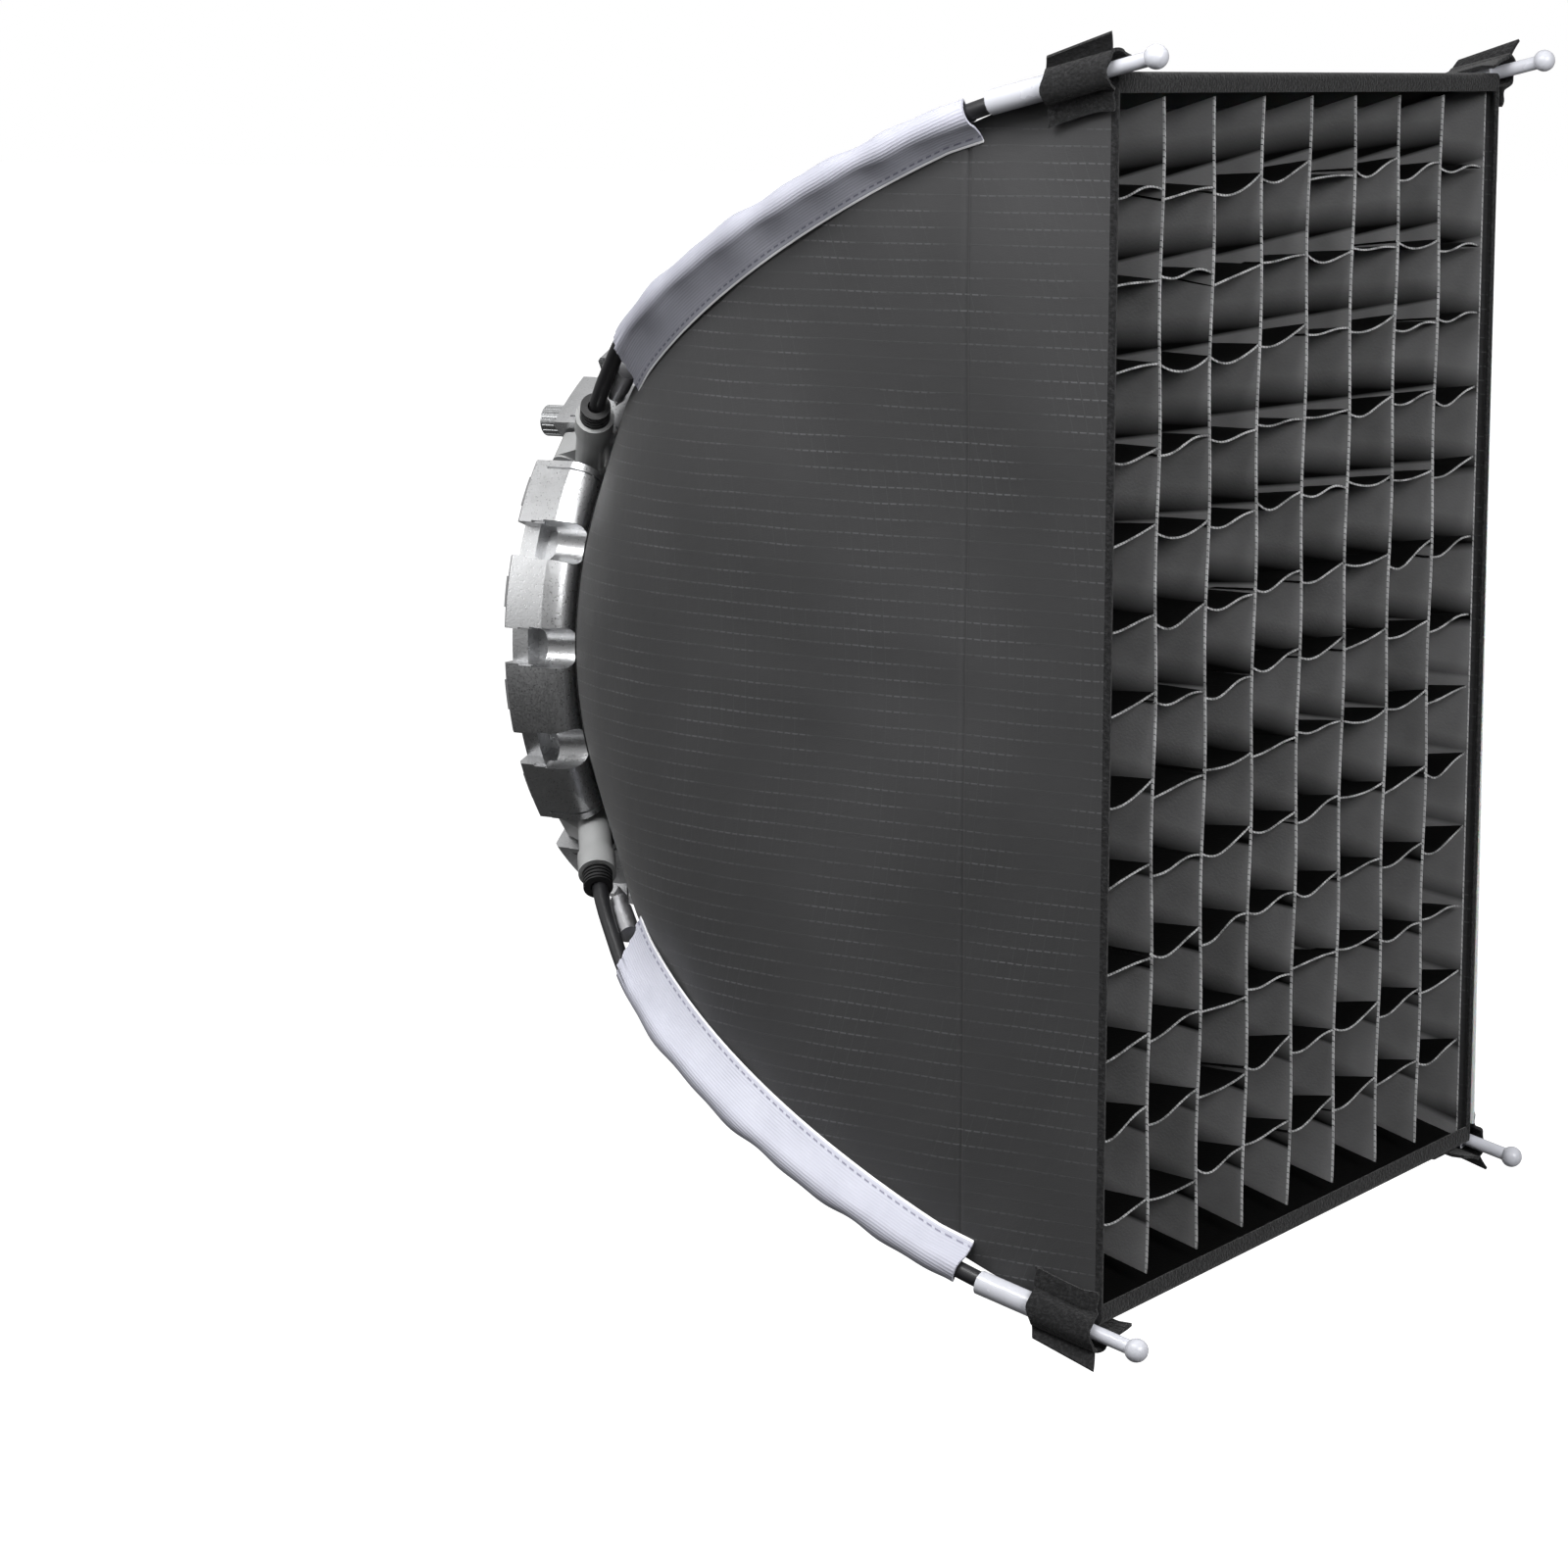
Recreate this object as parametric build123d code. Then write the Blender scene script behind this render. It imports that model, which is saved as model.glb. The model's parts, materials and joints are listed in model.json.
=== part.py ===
from build123d import *
import os
from math import cos, radians, sin, tan

os.makedirs("parts", exist_ok=True)

# All lengths in mm. +X is the light axis out of the front, +Z is up, and the origin is on the
# light axis in the plane of the seat that meets the lamp. "Right" is -Y, seen from the lamp.

# Front opening and depth
front_width = 298.6
front_height = 398.4
front_x = 264.0
cloth = 1.2

# Bayonet insert, the piece that locks to the lamp and on which the ring turns
bore_radius = 44.0
collar_radius = 46.5
collar_length = 14.0
bayonet_radius = 49.5
bayonet_thick = 3.0
bayonet_arc = 44.0
seat_inner = 51.0
seat_radius = 84.0
plate_radius = 95.6
plate_thick = 3.0
rim_step = 1.6
hub_inner = 60.0
hub_radius = 66.0
hub_front = 22.0
running_gap = 0.05

# Ring: cast body with lugs, and its rear cover
cover_rear = 3.3
seam_x = 10.0
ring_front = 29.0
ring_radius = 110.0
lug_root = 97.0
cover_root = 103.5
lug_count = 18
lug_pitch = 360.0 / lug_count
notch_width = 12.4
groove_offset = 5.9
scallop_radius = 7.2
scallop_orbit = (109.5, 105.5)
web_front = 15.0
web_radius = 84.0
socket_angle = 2 * lug_pitch
socket_notch_width = 16.5

# Lock knob
knob_orbit = 99.0
knob_radius = 5.6

# Rib hinge, socket and rod
pin_radius = 2.0
pin_orbit = 100.0
pin_length = 24.0
barrel_radius = 6.0
barrel_lean = 30.0
barrel_x = 18.0
barrel_orbit = 97.5
barrel_length = 33.0
grommet_length = 12.0
grommet_radius = 5.3
rod_radius = 2.8
tip_x = 280.5
ball_radius = 3.9
tip_radius = 2.4
tube_radius = 4.0
tube_x = 223.0
strap_x = (243.0, 261.0)
sleeve_x = (58.0, 214.0)
sleeve_radius = 5.0

# Rib curve: distances from the light axis at the socket and at the tip, and how fast they grow
rib_start = (17.0, 72.8, 60.8)
rib_end = (tip_x, 153.0, 203.6)
spread_y = (4.11, 0.85)
spread_z = (1.294, 0.682)

# Cloth envelope
hem_x = 31.0
hem_radius = 104.0
seam_gap_y = (3.6, 11.0)
seam_gap_z = (1.1, 13.0)

# Front cloths
diffuser_x = 226.0
grid_x = (229.0, 260.0)
grid_columns = 8
grid_rows = 14
strip = 0.9
baffle_x = 150.0

CORNERS = {"right_top": (-1, 1), "right_bottom": (-1, -1), "left_top": (1, 1), "left_bottom": (1, -1)}


def around(angle, radius, x=0.0):
    """Point at an angle from -Y towards +Z, at a distance from the light axis."""
    return Vector(x, -radius * cos(radians(angle)), radius * sin(radians(angle)))


def turned(profile):
    """Solid of revolution about the light axis from (x, radius) points."""
    return revolve(make_face(Polyline(*profile, close=True)), axis=Axis.X)


def cylinder_between(start, end, radius):
    """Solid cylinder from one point to another."""
    path = Vector(*end) - Vector(*start)
    place = Plane(origin=start, z_dir=path)
    return place.location * Cylinder(radius, path.length, align=(Align.CENTER, Align.CENTER, Align.MIN))


def at_angle(shape, angle):
    """A shape drawn at -Y, turned about the light axis to its angle."""
    return Rot(-angle, 0, 0) * shape


def mirrored(shape, corner):
    """A piece drawn for the right top rib, mirrored to its own corner."""
    side_y, side_z = CORNERS[corner]
    if side_y > 0:
        shape = mirror(shape, about=Plane.XZ)
    if side_z < 0:
        shape = mirror(shape, about=Plane.XY)
    return shape


def sector_block(x_low, x_high, r_low, r_high, width):
    """Block at -Y between two radii, square to the radius, of a given width."""
    return Pos((x_low + x_high) / 2, -(r_low + r_high) / 2, 0) * Box(x_high - x_low, r_high - r_low, width)


def write(name, *solids):
    """One STEP file per piece, or per group of identical pieces."""
    whole = Compound(children=[part for piece in solids for part in piece.solids()])
    export_step(whole, f"parts/{name}.step")


# Bayonet insert
def bayonet_insert():
    """Collar with three lugs, seat plate with a stepped rim, and the hub that the ring turns on."""
    profile = [(-collar_length, bore_radius), (-collar_length, collar_radius), (0.6, collar_radius),
               (0.6, seat_inner), (0, seat_inner), (0, seat_radius), (rim_step, seat_radius),
               (rim_step, plate_radius), (plate_thick, plate_radius), (plate_thick, hub_radius),
               (hub_front, hub_radius), (hub_front, hub_inner), (plate_thick, hub_inner),
               (plate_thick, bore_radius)]
    body = turned(profile)
    lug_ring = turned([(-collar_length, collar_radius - 0.5), (-collar_length, bayonet_radius),
                       (-collar_length + bayonet_thick, bayonet_radius),
                       (-collar_length + bayonet_thick, collar_radius - 0.5)])
    half = bayonet_arc / 2
    reach = 2 * bayonet_radius
    wedge = make_face(Polyline((0, 0), (reach * cos(radians(half)), -reach * sin(radians(half))),
                               (reach * cos(radians(half)), reach * sin(radians(half))), close=True))
    wedge = extrude(Plane.YZ.offset(-collar_length) * wedge, amount=bayonet_thick)
    for lug in range(3):
        body += lug_ring & (Rot(30 + 120 * lug, 0, 0) * wedge)
    for screw in range(6):
        hole = cylinder_between((hub_front - 8, -63, 0), (hub_front + 1, -63, 0), 1.25)
        body -= at_angle(hole, 60 * screw)
    return body


def insert_retainer():
    """Flat ring on the front of the hub, which keeps the cast ring on it."""
    plate = turned([(hub_front, 57), (hub_front, 74), (hub_front + 3, 73), (hub_front + 3, 57)])
    for screw in range(6):
        plate -= at_angle(cylinder_between((hub_front - 1, -63, 0), (hub_front + 4, -63, 0), 1.6), 60 * screw)
    return plate


def cap_screw(x_head, x_tip, orbit, head_radius, shank_radius, head_height):
    """Socket head screw along the light axis at -Y, its head at the higher or lower x."""
    way = 1 if x_head > x_tip else -1
    screw = cylinder_between((x_tip, -orbit, 0), (x_head, -orbit, 0), shank_radius)
    screw += cylinder_between((x_head, -orbit, 0), (x_head + way * head_height, -orbit, 0), head_radius)
    socket = Pos(x_head + way * head_height, -orbit, 0) * Rot(0, 90, 0) * extrude(
        RegularPolygon(head_radius * 0.5, 6), amount=head_height * 0.6, both=True)
    return screw - socket


# Ring
def ring_body():
    """Cast ring: bearing rim, web, and a lug belt with rounded front edges and a notch at each pitch."""
    outline = Polyline((seam_x, hub_radius + running_gap), (seam_x, ring_radius),
                       (ring_front - 9, ring_radius))
    nose = RadiusArc((ring_front - 9, ring_radius), (ring_front - 0.5, ring_radius - 8.5), 9)
    inside = Polyline((ring_front - 0.5, ring_radius - 8.5), (ring_front, web_radius + 6),
                      (ring_front, web_radius), (web_front, web_radius), (web_front, hub_radius + 5),
                      (hub_front - 0.2, hub_radius + 5), (hub_front - 0.2, hub_radius + running_gap),
                      (seam_x, hub_radius + running_gap))
    body = revolve(make_face(outline + nose + inside), axis=Axis.X)
    for angle in socket_angles():
        for side in (-1, 1):
            body -= at_angle(lug_groove(), angle + side * groove_offset)
    notch = sector_block(seam_x - 1, seam_x + 7.5, lug_root, ring_radius + 6, notch_width)
    notch += sector_block(seam_x - 1, ring_front + 2, ring_radius - 1.5, ring_radius + 6, notch_width + 1)
    notch += cylinder_between((seam_x + 5, -scallop_orbit[0], 0), (ring_front + 4, -scallop_orbit[1], 0),
                              scallop_radius)
    for index in range(lug_count):
        angle = index * lug_pitch
        if any(abs(angle - a) < 1 for a in socket_angles()):
            body -= at_angle(socket_notch(), angle)
        else:
            body -= at_angle(notch, angle)
    for angle in socket_angles():
        body -= at_angle(pin_hole(), angle)
    for angle in screw_angles():
        body -= at_angle(cylinder_between((seam_x - 1, -103, 0), (seam_x + 11, -103, 0), 1.25), angle)
    body -= at_angle(knob_hole(), knob_angle())
    return body


def lug_groove():
    """Thin groove round the front profile of a lug, which sets off an end plate beside the socket."""
    depth = 1.1
    inner = turned([(seam_x - 1, 60), (seam_x - 1, ring_radius - depth),
                    (ring_front - 9, ring_radius - depth),
                    (ring_front - 4.2, ring_radius - depth - 1.6), (ring_front - 2.0, ring_radius - 5.5),
                    (ring_front - depth - 0.5, ring_radius - 9), (ring_front - depth, 60)])
    slab = sector_block(seam_x - 1, ring_front + 2, web_radius + 8, ring_radius + 4, 0.8)
    return slab - inner


def socket_angles():
    """Angles of the four rib sockets, two each side."""
    return [socket_angle, 180 - socket_angle, 180 + socket_angle, 360 - socket_angle]


def screw_angles():
    """Every second lug carries a cover screw; no screw stands where the lock knob is."""
    return [lug_pitch * (index + 0.5) for index in range(0, lug_count, 2) if index != 2]


def knob_angle():
    """The lock knob stands on the lug above the right top socket."""
    return lug_pitch * 2.5


def knob_hole():
    """Clearance for the shank of the lock screw."""
    return cylinder_between((0, -knob_orbit, 0), (seam_x + 13, -knob_orbit, 0), 2.5 + running_gap)


def socket_notch():
    """Wider notch, open to the front, in which a rib socket swings."""
    return sector_block(seam_x - 1, ring_front + 2, web_radius + 2.4, ring_radius + 6, socket_notch_width)


def pin_hole():
    """Hole across a socket notch for its hinge pin, a light press on the pin."""
    half = pin_length / 2
    return cylinder_between((seam_x, -pin_orbit, -half), (seam_x, -pin_orbit, half), pin_radius)


def ring_cover():
    """Rear cover: flat ring with a shallow lug over each cast lug and a raised pad on each lug."""
    edge = ring_radius - 0.2
    cover = turned([(cover_rear, hub_radius + 0.3), (cover_rear, cover_root), (seam_x, cover_root),
                    (seam_x, hub_radius + 0.3)])
    belt = turned([(cover_rear, cover_root - 1), (cover_rear, edge - 1.5), (cover_rear + 1.5, edge),
                   (seam_x, edge), (seam_x, cover_root - 1)])
    pad = turned([(1.0, 99.5), (1.0, 106.0), (cover_rear, 107.0), (cover_rear, 98.5)])
    pad_keep = None
    for index in range(lug_count):
        angle = index * lug_pitch
        at_socket = any(abs(angle - other) < 1 for other in socket_angles())
        width = socket_notch_width if at_socket else notch_width
        belt -= at_angle(sector_block(cover_rear - 3, seam_x + 1, cover_root - 0.5, edge + 5, width), angle)
    for index in range(lug_count):
        angle = (index + 0.5) * lug_pitch
        if abs(angle - knob_angle()) < 1:
            continue
        window = at_angle(sector_block(0, cover_rear + 0.5, 95, 110, 11.0), angle)
        pad_keep = window if pad_keep is None else pad_keep + window
    cover = cover + belt + (pad & pad_keep)
    for angle in socket_angles():
        slot = sector_block(0, seam_x + 1, pin_orbit - 6.2, ring_radius + 5, socket_notch_width)
        cover -= at_angle(slot, angle)
        cover -= at_angle(pin_hole(), angle)
    for angle in screw_angles():
        cover -= at_angle(cylinder_between((0, -103, 0), (seam_x + 1, -103, 0), 1.6), angle)
        cover -= at_angle(cylinder_between((0, -103, 0), (3.2, -103, 0), 2.9), angle)
    cover -= at_angle(knob_hole(), knob_angle())
    return cover


def hinge_pin():
    """Plain steel pin across a socket notch."""
    half = pin_length / 2
    return cylinder_between((seam_x, -pin_orbit, -half), (seam_x, -pin_orbit, half), pin_radius)


def fold_spring():
    """Torsion spring round the pin, beside the socket's eye, with a leg that leans on the web."""
    coil = Helix(pitch=1.05, height=3.15, radius=3.0)
    wire = sweep(Plane(origin=coil @ 0, z_dir=coil % 0) * Circle(0.42), path=coil)
    return Pos(seam_x, -pin_orbit, -socket_notch_width / 2 + 0.6) * wire


# Lock knob
def lock_knob():
    """Knurled knob whose end bears on the stepped rim of the bayonet plate."""
    knob = cylinder_between((-8.0, -knob_orbit, 0), (0.2, -knob_orbit, 0), knob_radius)
    knob += cylinder_between((0.2, -knob_orbit, 0), (rim_step - 0.25, -knob_orbit, 0), knob_radius - 0.5)
    for tooth in range(18):
        angle = radians(20 * tooth)
        side, up = (knob_radius + 0.25) * cos(angle), (knob_radius + 0.25) * sin(angle)
        knob -= cylinder_between((-7.4, side - knob_orbit, up), (-0.6, side - knob_orbit, up), 0.55)
    knob -= cylinder_between((-6, -knob_orbit, 0), (2, -knob_orbit, 0), 2.5)
    return knob


def lock_screw():
    """Screw fixed in the knob, through the cover into the cast ring."""
    return cylinder_between((-6, -knob_orbit, 0), (seam_x + 11, -knob_orbit, 0), 2.5)


# Rib
def rib_point(x):
    """Centre of the right top rib's rod at a distance along the light axis."""
    share = (x - rib_start[0]) / (rib_end[0] - rib_start[0])
    grow_y = (1 - (1 - share) ** spread_y[0]) ** spread_y[1]
    grow_z = (1 - (1 - share) ** spread_z[0]) ** spread_z[1]
    y = rib_start[1] + (rib_end[1] - rib_start[1]) * grow_y
    z = rib_start[2] + (rib_end[2] - rib_start[2]) * grow_z
    return Vector(x, -y, z)


def barrel_point(along):
    """Point on the barrel's axis, measured from its foot."""
    lean = radians(barrel_lean)
    x = barrel_x + along * sin(lean)
    return around(socket_angle, barrel_orbit + along * cos(lean), x)


def smooth_path(points):
    """Straight runs joined by the largest tangent arcs that fit."""
    radii = []
    for before, here, after in zip(points, points[1:], points[2:]):
        run = min((here - before).length, (after - here).length)
        turn = (here - before).get_angle(after - here)
        radii.append(0.42 * run / tan(radians(turn) / 2))
    return FilletPolyline(*points, radius=radii)


def rod_points():
    """Route of a rib's rod, from inside the barrel to the ball."""
    free = [rib_point(x) for x in (64, 88, 120, 160, 200)]
    return [barrel_point(8), barrel_point(barrel_length + 9), *free,
            tip_point(tube_x + 8), tip_point(tip_x - 22)]


def tube_along(points, outer, inner=0.0):
    """Round bar or tube along a smooth route."""
    path = smooth_path(points)
    face = Circle(outer) if inner == 0 else Circle(outer) - Circle(inner)
    return sweep(Plane(origin=path @ 0, z_dir=path % 0) * face, path=path)


def rib_socket():
    """Moulded socket: eye on the pin, cheek, and barrel with a cup at its mouth."""
    eye_low, eye_high = -3.6, 7.2
    eye = cylinder_between((seam_x, -pin_orbit, eye_low), (seam_x, -pin_orbit, eye_high), 5.2)
    cheek = Pos(0, 0, (eye_low + eye_high) / 2) * extrude(
        Plane.XY * make_face(Polyline((seam_x - 2, -pin_orbit - 4.9), (seam_x + 1, -pin_orbit + 5),
                                      (barrel_x + 4, -barrel_orbit + 1), (barrel_x + 7, -barrel_orbit - 14),
                                      close=True)), amount=4.6, both=True)
    block = at_angle(eye + cheek, socket_angle)
    barrel = cylinder_between(barrel_point(0), barrel_point(barrel_length), barrel_radius)
    cup = cylinder_between(barrel_point(barrel_length - 9), barrel_point(barrel_length), barrel_radius + 0.8)
    socket = block + barrel + cup
    socket -= at_angle(cylinder_between((seam_x, -pin_orbit, -12), (seam_x, -pin_orbit, 12),
                                        pin_radius + running_gap), socket_angle)
    socket -= cylinder_between(barrel_point(8), barrel_point(barrel_length + 2), rod_radius)
    socket -= cylinder_between(barrel_point(barrel_length - 5), barrel_point(barrel_length + 2),
                               grommet_radius)
    return socket


def rod_grommet():
    """Rubber grommet with ribs, seated in the barrel's mouth round the rod."""
    start = barrel_length - 5
    grommet = cylinder_between(barrel_point(start), barrel_point(start + grommet_length), grommet_radius)
    for rib in range(4):
        low = barrel_length + 0.6 + 1.7 * rib
        groove = cylinder_between(barrel_point(low), barrel_point(low + 0.7), grommet_radius + 1)
        groove -= cylinder_between(barrel_point(low - 1), barrel_point(low + 2), grommet_radius - 0.7)
        grommet -= groove
    grommet -= cylinder_between(barrel_point(start - 1), barrel_point(start + grommet_length + 1), rod_radius)
    return grommet


def rib_rod():
    """Springy rod from the socket to the tip tube."""
    return tube_along(rod_points(), rod_radius)


def tip_point(x):
    """Point on the straight axis of the end tube."""
    start = rib_point(tube_x)
    return start + (rib_point(tip_x) - start) * ((x - tube_x) / (tip_x - tube_x))


def rib_tip():
    """Moulded end tube with a thinner nose and a ball that the hand pulls on."""
    start = tip_point(tube_x)
    step = tip_point(tip_x - 19)
    end = tip_point(tip_x)
    tip = cylinder_between(start, step, tube_radius)
    tip += cylinder_between(step, end, tip_radius)
    tip += Pos(end.X, end.Y, end.Z) * Sphere(ball_radius)
    return tip


def rod_sleeve():
    """Cloth pocket round the rod along the corner seam."""
    length = sleeve_x[1] - sleeve_x[0]
    return tube_along(rod_points(), sleeve_radius, rod_radius + 0.4) & (
        Pos((sleeve_x[0] + sleeve_x[1]) / 2, 0, 0) * Box(length, 400, 500))


def clip_point(x):
    """Point between the rod and the seam of the cloth."""
    rib = rib_point(x)
    corner_y, corner_z = envelope(x)[:2]
    return Vector(x, rib.Y + 0.6 * (-corner_y - rib.Y), rib.Z + 0.6 * (corner_z - rib.Z))


def seam_clip():
    """Moulded end of the seam tape, which shows between the rod and the cloth behind the sleeve."""
    front, waist, low, tip = clip_point(56), clip_point(48), clip_point(45), clip_point(41.5)
    clip = cylinder_between(front, waist, 3.9) + cylinder_between(waist, low, 3.4)
    nose = Plane(origin=low, z_dir=tip - low)
    height = (tip - low).length
    clip += nose.location * Cone(3.8, 1.8, height, align=(Align.CENTER, Align.CENTER, Align.MIN))
    clip -= tube_along(rod_points(), rod_radius + 0.3)
    mouth = barrel_point(barrel_length - 12)
    clip -= cylinder_between(mouth, barrel_point(barrel_length + grommet_length), barrel_radius + 1.1)
    return clip


def corner_strap():
    """Hook-and-loop strap wrapped round the end tube, with its tail lying along the side cloth."""
    start, end = tip_point(strap_x[0]), tip_point(strap_x[1])
    wrap = cylinder_between(start, end, tube_radius + 0.9)
    far = (end - start) * 0.2
    hole = cylinder_between(start - far, end + far, tube_radius + 0.1)
    tail_low = front_height / 2 - 14
    tail = Box(strap_x[1] - strap_x[0], 1.4, 12, align=(Align.MIN, Align.MIN, Align.MIN))
    tail = Pos(strap_x[0], -front_width / 2 - 2.4, tail_low) * tail
    return wrap + tail - hole


# Cloth envelope
def envelope(x):
    """Corner and mid-line distances of the cloth at x: corner y, corner z, side mid, top mid."""
    share = (x - hem_x) / (front_x - hem_x)
    rest = max(0.0, 1 - share)
    if x <= hem_x:
        corner_y = hem_radius * cos(radians(socket_angle + 0.6))
        corner_z = hem_radius * sin(radians(socket_angle + 0.6))
    else:
        rib = rib_point(x)
        corner_y = -rib.Y - seam_gap_y[0] - seam_gap_y[1] * rest ** 1.2
        corner_z = rib.Z - seam_gap_z[0] - seam_gap_z[1] * rest ** 1.2
    corner_y = min(corner_y, front_width / 2)
    corner_z = min(corner_z, front_height / 2)
    return corner_y, corner_z, corner_y + 25 * rest ** 2.5, corner_z + 36 * rest ** 2.5


def side_section(x, corner, middle, half):
    """Thin curved strip across one side: a parabola from seam to seam, one cloth thick inwards."""
    steps = [-1, -0.8, -0.55, -0.28, 0, 0.28, 0.55, 0.8, 1]
    reach = 1 - 2.6 / half
    outer = [(middle + (corner - middle) * (t * reach) ** 2, half * t * reach) for t in steps]
    inner = [(away - cloth, across) for away, across in outer]
    return outer + inner[::-1]


def cloth_side(place):
    """One side of the envelope, lofted through sections from hem to front edge."""
    sections = []
    for x in (hem_x, 45, 65, 90, 125, 170, 215, front_x):
        corner_y, corner_z, side_mid, top_mid = envelope(x)
        if place in ("right", "left"):
            points = [(-away, across) for away, across in side_section(x, corner_y, side_mid, corner_z)]
        else:
            points = [(across, away) for away, across in side_section(x, corner_z, top_mid, corner_y)]
        sections.append(make_face(Plane.YZ.offset(x) * Polyline(*points, close=True)))
    panel = loft(sections, ruled=True)
    if place == "left":
        panel = mirror(panel, about=Plane.XZ)
    if place == "bottom":
        panel = mirror(panel, about=Plane.XY)
    return panel


def rear_hem():
    """Elastic hem that draws the cloth on to the ring behind the sockets."""
    hem = turned([(ring_front + 0.3, 99.0), (ring_front + 0.3, 102.2),
                  (hem_x - 0.4, 102.2), (hem_x - 0.4, 99.0)])
    for angle in socket_angles():
        hem -= at_angle(sector_block(ring_front - 1, hem_x + 1, 90, 110, 20), angle)
    return hem


def frame_of(width, height, border, x_low, x_high):
    """Flat rectangular frame across the light axis."""
    outer = Pos((x_low + x_high) / 2, 0, 0) * Box(x_high - x_low, width, height)
    window = Box(2 * (x_high - x_low), width - 2 * border, height - 2 * border)
    return outer - Pos((x_low + x_high) / 2, 0, 0) * window


def front_binding():
    """Bound lip round the front edge of the cloth."""
    return frame_of(front_width, front_height, 2.2, front_x, front_x + 1.4)


def opening(x):
    """Width and height inside the cloth at x, with the slack that lets a cloth frame slide out."""
    corner_y, corner_z = envelope(x)[:2]
    return 2 * (corner_y - cloth - 1.4), 2 * (corner_z - cloth - 1.4)


def front_diffuser():
    """White cloth with a loop border, held inside the front edge."""
    width, height = opening(diffuser_x - 2)
    cloth_face = Pos(diffuser_x, 0, 0) * Box(1.0, width, height)
    return cloth_face + frame_of(width, height, 14, diffuser_x - 1.5, diffuser_x)


def flared_block(x_low, x_high, inset):
    """Solid between the opening's rectangle at two depths, drawn in by an inset."""
    ends = []
    for x in (x_low, x_high):
        width, height = opening(x)
        ends.append(Plane.YZ.offset(x) * Rectangle(width - 2 * inset, height - 2 * inset))
    return loft(ends, ruled=True)


def egg_crate():
    """Cloth grid of crossed strips in a flared border, held in front of the diffuser."""
    width, height = opening(grid_x[1])
    depth = grid_x[1] - grid_x[0]
    outer = flared_block(*grid_x, 0)
    border = outer - flared_block(grid_x[0] - 0.01, grid_x[1] + 0.01, strip)
    strips = GridLocations(1, width / grid_columns, 1, grid_columns - 1) * Box(depth, strip, 2 * height)
    crosses = Box(depth, 2 * width, strip)
    levels = [Pos(0, 0, (row + 1 - grid_rows / 2) * height / grid_rows) * crosses
              for row in range(grid_rows - 1)]
    web = Part() + strips + levels
    return border + ((Pos(grid_x[0] + depth / 2, 0, 0) * web) & outer)


def inner_baffle():
    """Second diffusing cloth across the middle of the box, short of the walls so that air passes."""
    corner_y, corner_z = envelope(baffle_x)[:2]
    return Pos(baffle_x, 0, 0) * Box(0.8, 2 * corner_y - 26, 2 * corner_z - 26)


def baffle_tabs():
    """Elastic tabs that tie the baffle's corners to the seams."""
    corner_y, corner_z = envelope(baffle_x)[:2]
    near = Vector(baffle_x, -corner_y + 13.5, corner_z - 13.5)
    far = Vector(baffle_x, -corner_y + 5, corner_z - 5)
    tab = cylinder_between(near + (far - near) * -0.3, far, 1.6)
    tab -= Pos(baffle_x, 0, 0) * Box(0.8, 2 * corner_y - 26, 2 * corner_z - 26)
    return max(tab.solids(), key=lambda piece: piece.volume)


def pull_tab():
    """Webbing tab on the bottom edge for pulling the diffuser off."""
    tab = Box(12, 16, 1.2, align=(Align.MAX, Align.CENTER, Align.MAX))
    return Pos(front_x - 1, front_width / 2 - 20, -front_height / 2 - 0.1) * tab


# Write every piece
write("bayonet_insert", bayonet_insert())
write("insert_retainer", insert_retainer())
retainer_screw = cap_screw(hub_front + 3, hub_front - 7, 63, 2.6, 1.2, 2.0)
write("retainer_screws", *[at_angle(retainer_screw, 60 * index) for index in range(6)])
write("ring_body", ring_body())
write("ring_cover", ring_cover())
cover_screw = cap_screw(3.2, seam_x + 9, 103, 2.7, 1.2, 1.9)
write("cover_screws", *[at_angle(cover_screw, angle) for angle in screw_angles()])
write("hinge_pins", *[mirrored(at_angle(hinge_pin(), socket_angle), corner) for corner in CORNERS])
write("fold_springs", *[mirrored(at_angle(fold_spring(), socket_angle), corner) for corner in CORNERS])
write("lock_knob", at_angle(lock_knob(), knob_angle()))
write("lock_screw", at_angle(lock_screw(), knob_angle()))

socket, grommet, rod = rib_socket(), rod_grommet(), rib_rod()
tip, sleeve, strap, clip = rib_tip(), rod_sleeve(), corner_strap(), seam_clip()
tip -= rod
socket -= rod
grommet -= rod
for corner in CORNERS:
    write(f"rib_socket_{corner}", mirrored(socket, corner))
    write(f"rod_grommet_{corner}", mirrored(grommet, corner))
    write(f"rib_rod_{corner}", mirrored(rod, corner))
    write(f"rib_tip_{corner}", mirrored(tip, corner))
    write(f"rod_sleeve_{corner}", mirrored(sleeve, corner))
    write(f"corner_strap_{corner}", mirrored(strap, corner))
    write(f"seam_clip_{corner}", mirrored(clip, corner))

for place in ("right", "left", "top", "bottom"):
    write(f"{place}_cloth", cloth_side(place))
write("rear_hem", rear_hem())
write("front_binding", front_binding())
write("front_diffuser", front_diffuser())
write("egg_crate_grid", egg_crate())
write("inner_baffle", inner_baffle())
write("baffle_tabs", *[mirrored(baffle_tabs(), corner) for corner in CORNERS])
write("pull_tab", pull_tab())
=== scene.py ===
import json
import math
import bpy
import numpy as np
from mathutils import Vector, Matrix


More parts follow.
